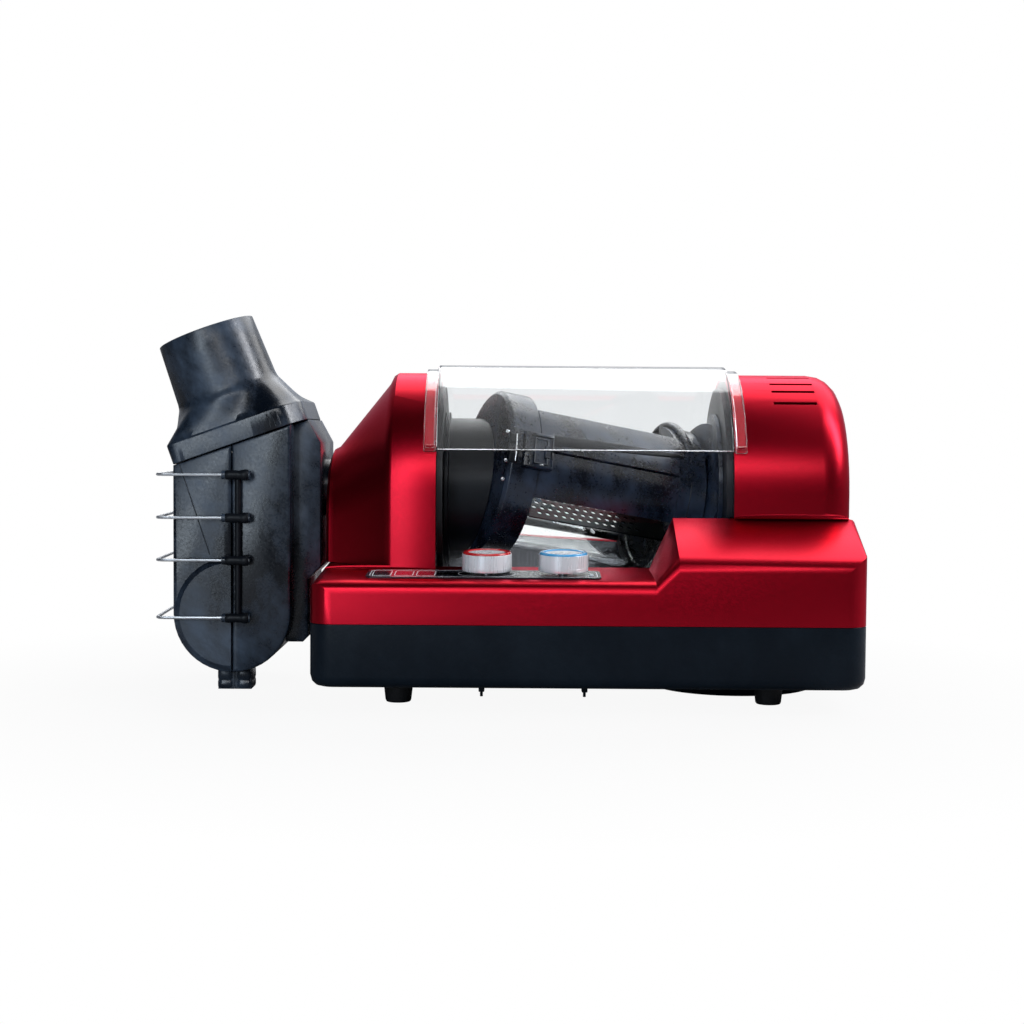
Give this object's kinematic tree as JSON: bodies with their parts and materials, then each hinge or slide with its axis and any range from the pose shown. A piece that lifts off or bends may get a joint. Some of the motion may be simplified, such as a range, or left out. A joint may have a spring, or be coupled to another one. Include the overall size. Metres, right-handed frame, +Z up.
{
  "type": "home coffee bean roaster",
  "caption": "Countertop coffee bean roaster with a tilted turning glass drum under a hinged clear cover, control knobs and a pull-off chaff collector with a chimney.",
  "frame": {"origin": "on the floor under the middle of the whole object, collector included", "axes": "+X to the user's right along the body, +Y to the back, +Z up"},
  "size_m": [0.4986, 0.2354, 0.2714],
  "materials": {
    "base_tub": "fine-grained matt black",
    "foot_front_left": "matt",
    "foot_front_right": "matt",
    "foot_rear_left": "matt",
    "foot_rear_right": "matt",
    "fan_grille": "fine-grained matt black",
    "top_housing": "gloss candy red",
    "left_tower": "gloss candy red",
    "right_tower": "gloss candy red",
    "left_wall": "fine-grained matt black",
    "right_wall": "fine-grained matt black",
    "well_liner": "polished",
    "control_overlay": "printed film",
    "display_window": "dark glossy",
    "power_inlet": "fine-grained matt black",
    "temperature_encoder": "fine-grained matt black",
    "timer_encoder": "fine-grained matt black",
    "blower_housing": "satin",
    "blower_motor": "satin",
    "heater_duct": "polished",
    "heater_core": "ceramic, matt",
    "drive_motor": "satin",
    "left_bearing": "natural",
    "right_bearing": "natural",
    "exhaust_duct": "polished",
    "control_board": "satin",
    "temperature_probe": "polished",
    "cover_pin_left": "polished",
    "cover_pin_right": "polished",
    "cover_shell": "clear, glossy",
    "drum_left_hub": "satin black coating",
    "drum_right_hub": "satin black coating",
    "drum_lid": "satin black coating",
    "drum_end_cap": "satin black coating",
    "drum_glass": "clear",
    "drum_vane": "polished",
    "drum_cage": "satin black coating",
    "drum_handle": "satin black coating",
    "drum_spine": "satin black coating",
    "latch_box": "fine-grained matt black",
    "drum_gear": "natural",
    "latch_bail": "polished",
    "drive_pinion": "polished",
    "blower_impeller": "fine-grained matt black",
    "temperature_plunger": "natural",
    "temperature_knob": "fine turned",
    "temperature_ring": "satin",
    "temperature_shaft": "polished",
    "timer_plunger": "natural",
    "timer_knob": "fine turned",
    "timer_ring": "satin",
    "timer_shaft": "polished",
    "collector_body": "satin black coating",
    "collector_door": "satin black coating",
    "collector_hood": "satin black coating",
    "collector_screen": "polished",
    "guard_wire_1": "polished",
    "guard_wire_2": "polished",
    "guard_wire_3": "polished",
    "guard_wire_4": "polished"
  },
  "bodies": {
    "housing": {"base_tub": "base_tub", "foot_front_left": "foot_front_left", "foot_front_right": "foot_front_right", "foot_rear_left": "foot_rear_left", "foot_rear_right": "foot_rear_right", "fan_grille": "fan_grille", "top_housing": "top_housing", "left_tower": "left_tower", "right_tower": "right_tower", "left_wall": "left_wall", "right_wall": "right_wall", "well_liner": "well_liner", "control_overlay": "control_overlay", "display_window": "display_window", "power_inlet": "power_inlet", "temperature_encoder": "temperature_encoder", "timer_encoder": "timer_encoder", "blower_housing": "blower_housing", "blower_motor": "blower_motor", "heater_duct": "heater_duct", "heater_core": "heater_core", "drive_motor": "drive_motor", "left_bearing": "left_bearing", "right_bearing": "right_bearing", "exhaust_duct": "exhaust_duct", "control_board": "control_board", "temperature_probe": "temperature_probe", "cover_pin_left": "cover_pin_left", "cover_pin_right": "cover_pin_right"},
    "cover": {"cover_shell": "cover_shell"},
    "drum": {"drum_left_hub": "drum_left_hub", "drum_right_hub": "drum_right_hub", "drum_lid": "drum_lid", "drum_end_cap": "drum_end_cap", "drum_glass": "drum_glass", "drum_vane": "drum_vane", "drum_cage": "drum_cage", "drum_handle": "drum_handle", "drum_spine": "drum_spine", "latch_box": "latch_box", "drum_gear": "drum_gear"},
    "bail": {"latch_bail": "latch_bail"},
    "pinion": {"drive_pinion": "drive_pinion"},
    "impeller": {"blower_impeller": "blower_impeller"},
    "temperature_button": {"temperature_plunger": "temperature_plunger"},
    "temperature_dial": {"temperature_knob": "temperature_knob", "temperature_ring": "temperature_ring", "temperature_shaft": "temperature_shaft"},
    "timer_button": {"timer_plunger": "timer_plunger"},
    "timer_dial": {"timer_knob": "timer_knob", "timer_ring": "timer_ring", "timer_shaft": "timer_shaft"},
    "collector": {"collector_body": "collector_body"},
    "collector_front": {"collector_door": "collector_door", "collector_hood": "collector_hood", "collector_screen": "collector_screen", "guard_wire_1": "guard_wire_1", "guard_wire_2": "guard_wire_2", "guard_wire_3": "guard_wire_3", "guard_wire_4": "guard_wire_4"}
  },
  "joints": [
    {"name": "cover_hinge", "type": "hinge", "parent": "housing", "child": "cover", "pos_m": [0.06043, 0.10734, 0.145], "axis": [-1, 0, 0], "range_deg": [0, 85]},
    {"name": "drum_spin", "type": "hinge", "parent": "housing", "child": "drum", "pos_m": [0.06043, 0.02635, 0.145], "axis": [1, 0, 0], "continuous": true},
    {"name": "pinion_spin", "type": "hinge", "parent": "housing", "child": "pinion", "pos_m": [0.17523, -0.00889, 0.13217], "axis": [1, 0, 0], "continuous": true},
    {"name": "impeller_spin", "type": "hinge", "parent": "housing", "child": "impeller", "pos_m": [0.17233, 0.01235, 0.03], "axis": [0, 0, 1], "continuous": true},
    {"name": "latch_swing", "type": "hinge", "parent": "drum", "child": "bail", "pos_m": [0.03423, -0.04321, 0.17291], "axis": [0.0617, 0.3516, 0.9341], "range_deg": [0, 100]},
    {"name": "temperature_push", "type": "slide", "parent": "housing", "child": "temperature_button", "axis": [0, 0.0582, -0.9983], "range_m": [0, 0.002], "stiffness_N_per_m": 700, "springref_m": -0.001},
    {"name": "temperature_turn", "type": "hinge", "parent": "temperature_button", "child": "temperature_dial", "pos_m": [-0.00757, -0.08465, 0.08912], "axis": [0, -0.0582, 0.9983], "continuous": true},
    {"name": "timer_push", "type": "slide", "parent": "housing", "child": "timer_button", "axis": [0, 0.0582, -0.9983], "range_m": [0, 0.002], "stiffness_N_per_m": 700, "springref_m": -0.001},
    {"name": "timer_turn", "type": "hinge", "parent": "timer_button", "child": "timer_dial", "pos_m": [0.04483, -0.08465, 0.08912], "axis": [0, -0.0582, 0.9983], "continuous": true},
    {"name": "collector_pull", "type": "slide", "parent": "housing", "child": "collector", "axis": [-1, 0, 0], "range_m": [0, 0.06]},
    {"name": "collector_hinge", "type": "hinge", "parent": "collector", "child": "collector_front", "pos_m": [-0.19067, 0.08585, 0.1], "axis": [0, 0, -1], "range_deg": [0, 95]}
  ],
  "couplings": [
    {"joint": "pinion_spin", "follows": "drum_spin", "ratio": -4}
  ]
}
